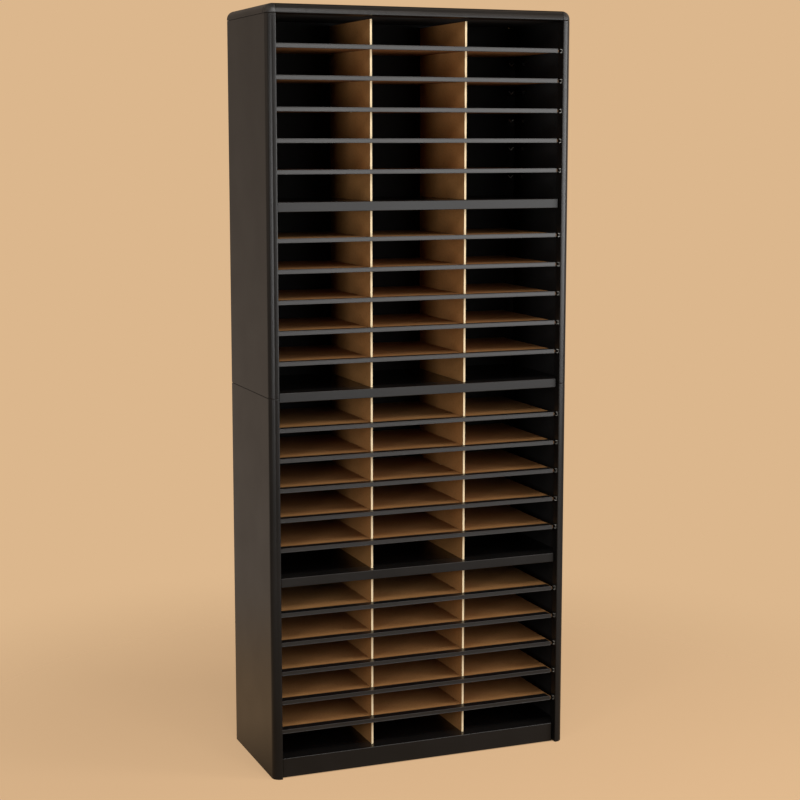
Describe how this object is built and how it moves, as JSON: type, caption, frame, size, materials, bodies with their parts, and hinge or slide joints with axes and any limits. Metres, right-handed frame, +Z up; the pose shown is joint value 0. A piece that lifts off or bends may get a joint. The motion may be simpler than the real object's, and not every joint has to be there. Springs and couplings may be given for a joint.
{
  "type": "flat file organizer",
  "caption": "Tall black steel sorter with open flat compartments formed by pull-out fibreboard shelves and upright dividers.",
  "frame": {"origin": "on the floor, under the middle of the cabinet's bounding box", "axes": "+Z up, -Y out of the open front, +X to the right as seen from the front"},
  "size_m": [0.803, 0.334, 1.905],
  "materials": {
    "black_steel": "black satin powder coat",
    "black_plastic": "black satin plastic",
    "fibreboard": "tan uncoated fibreboard"
  },
  "bodies": {
    "cabinet": {"lower_side_left": "black_steel", "lower_side_right": "black_steel", "upper_side_left": "black_steel", "upper_side_right": "black_steel", "top_panel": "black_steel", "base": "black_steel", "steel_shelf_1": "black_steel", "steel_shelf_2": "black_steel", "steel_shelf_3": "black_steel", "back": "black_steel", "corner_cap_left": "black_plastic", "corner_cap_right": "black_plastic", "divider_1_left": "fibreboard", "divider_1_right": "fibreboard", "divider_2_left": "fibreboard", "divider_2_right": "fibreboard", "divider_3_left": "fibreboard", "divider_3_right": "fibreboard", "divider_4_left": "fibreboard", "divider_4_right": "fibreboard"},
    "shelf_1_1": {"board_1_1": "fibreboard", "moulding_1_1": "black_plastic"},
    "shelf_1_2": {"board_1_2": "fibreboard", "moulding_1_2": "black_plastic"},
    "shelf_1_3": {"board_1_3": "fibreboard", "moulding_1_3": "black_plastic"},
    "shelf_1_4": {"board_1_4": "fibreboard", "moulding_1_4": "black_plastic"},
    "shelf_1_5": {"board_1_5": "fibreboard", "moulding_1_5": "black_plastic"},
    "shelf_2_1": {"board_2_1": "fibreboard", "moulding_2_1": "black_plastic"},
    "shelf_2_2": {"board_2_2": "fibreboard", "moulding_2_2": "black_plastic"},
    "shelf_2_3": {"board_2_3": "fibreboard", "moulding_2_3": "black_plastic"},
    "shelf_2_4": {"board_2_4": "fibreboard", "moulding_2_4": "black_plastic"},
    "shelf_2_5": {"board_2_5": "fibreboard", "moulding_2_5": "black_plastic"},
    "shelf_3_1": {"board_3_1": "fibreboard", "moulding_3_1": "black_plastic"},
    "shelf_3_2": {"board_3_2": "fibreboard", "moulding_3_2": "black_plastic"},
    "shelf_3_3": {"board_3_3": "fibreboard", "moulding_3_3": "black_plastic"},
    "shelf_3_4": {"board_3_4": "fibreboard", "moulding_3_4": "black_plastic"},
    "shelf_3_5": {"board_3_5": "fibreboard", "moulding_3_5": "black_plastic"},
    "shelf_4_1": {"board_4_1": "fibreboard", "moulding_4_1": "black_plastic"},
    "shelf_4_2": {"board_4_2": "fibreboard", "moulding_4_2": "black_plastic"},
    "shelf_4_3": {"board_4_3": "fibreboard", "moulding_4_3": "black_plastic"},
    "shelf_4_4": {"board_4_4": "fibreboard", "moulding_4_4": "black_plastic"},
    "shelf_4_5": {"board_4_5": "fibreboard", "moulding_4_5": "black_plastic"}
  },
  "joints": [
    {"name": "shelf_1_1_slide", "type": "slide", "parent": "cabinet", "child": "shelf_1_1", "axis": [0, -1, 0], "range_m": [0, 0.335]},
    {"name": "shelf_1_2_slide", "type": "slide", "parent": "cabinet", "child": "shelf_1_2", "axis": [0, -1, 0], "range_m": [0, 0.335]},
    {"name": "shelf_1_3_slide", "type": "slide", "parent": "cabinet", "child": "shelf_1_3", "axis": [0, -1, 0], "range_m": [0, 0.335]},
    {"name": "shelf_1_4_slide", "type": "slide", "parent": "cabinet", "child": "shelf_1_4", "axis": [0, -1, 0], "range_m": [0, 0.335]},
    {"name": "shelf_1_5_slide", "type": "slide", "parent": "cabinet", "child": "shelf_1_5", "axis": [0, -1, 0], "range_m": [0, 0.335]},
    {"name": "shelf_2_1_slide", "type": "slide", "parent": "cabinet", "child": "shelf_2_1", "axis": [0, -1, 0], "range_m": [0, 0.335]},
    {"name": "shelf_2_2_slide", "type": "slide", "parent": "cabinet", "child": "shelf_2_2", "axis": [0, -1, 0], "range_m": [0, 0.335]},
    {"name": "shelf_2_3_slide", "type": "slide", "parent": "cabinet", "child": "shelf_2_3", "axis": [0, -1, 0], "range_m": [0, 0.335]},
    {"name": "shelf_2_4_slide", "type": "slide", "parent": "cabinet", "child": "shelf_2_4", "axis": [0, -1, 0], "range_m": [0, 0.335]},
    {"name": "shelf_2_5_slide", "type": "slide", "parent": "cabinet", "child": "shelf_2_5", "axis": [0, -1, 0], "range_m": [0, 0.335]},
    {"name": "shelf_3_1_slide", "type": "slide", "parent": "cabinet", "child": "shelf_3_1", "axis": [0, -1, 0], "range_m": [0, 0.335]},
    {"name": "shelf_3_2_slide", "type": "slide", "parent": "cabinet", "child": "shelf_3_2", "axis": [0, -1, 0], "range_m": [0, 0.335]},
    {"name": "shelf_3_3_slide", "type": "slide", "parent": "cabinet", "child": "shelf_3_3", "axis": [0, -1, 0], "range_m": [0, 0.335]},
    {"name": "shelf_3_4_slide", "type": "slide", "parent": "cabinet", "child": "shelf_3_4", "axis": [0, -1, 0], "range_m": [0, 0.335]},
    {"name": "shelf_3_5_slide", "type": "slide", "parent": "cabinet", "child": "shelf_3_5", "axis": [0, -1, 0], "range_m": [0, 0.335]},
    {"name": "shelf_4_1_slide", "type": "slide", "parent": "cabinet", "child": "shelf_4_1", "axis": [0, -1, 0], "range_m": [0, 0.335]},
    {"name": "shelf_4_2_slide", "type": "slide", "parent": "cabinet", "child": "shelf_4_2", "axis": [0, -1, 0], "range_m": [0, 0.335]},
    {"name": "shelf_4_3_slide", "type": "slide", "parent": "cabinet", "child": "shelf_4_3", "axis": [0, -1, 0], "range_m": [0, 0.335]},
    {"name": "shelf_4_4_slide", "type": "slide", "parent": "cabinet", "child": "shelf_4_4", "axis": [0, -1, 0], "range_m": [0, 0.335]},
    {"name": "shelf_4_5_slide", "type": "slide", "parent": "cabinet", "child": "shelf_4_5", "axis": [0, -1, 0], "range_m": [0, 0.335]}
  ]
}
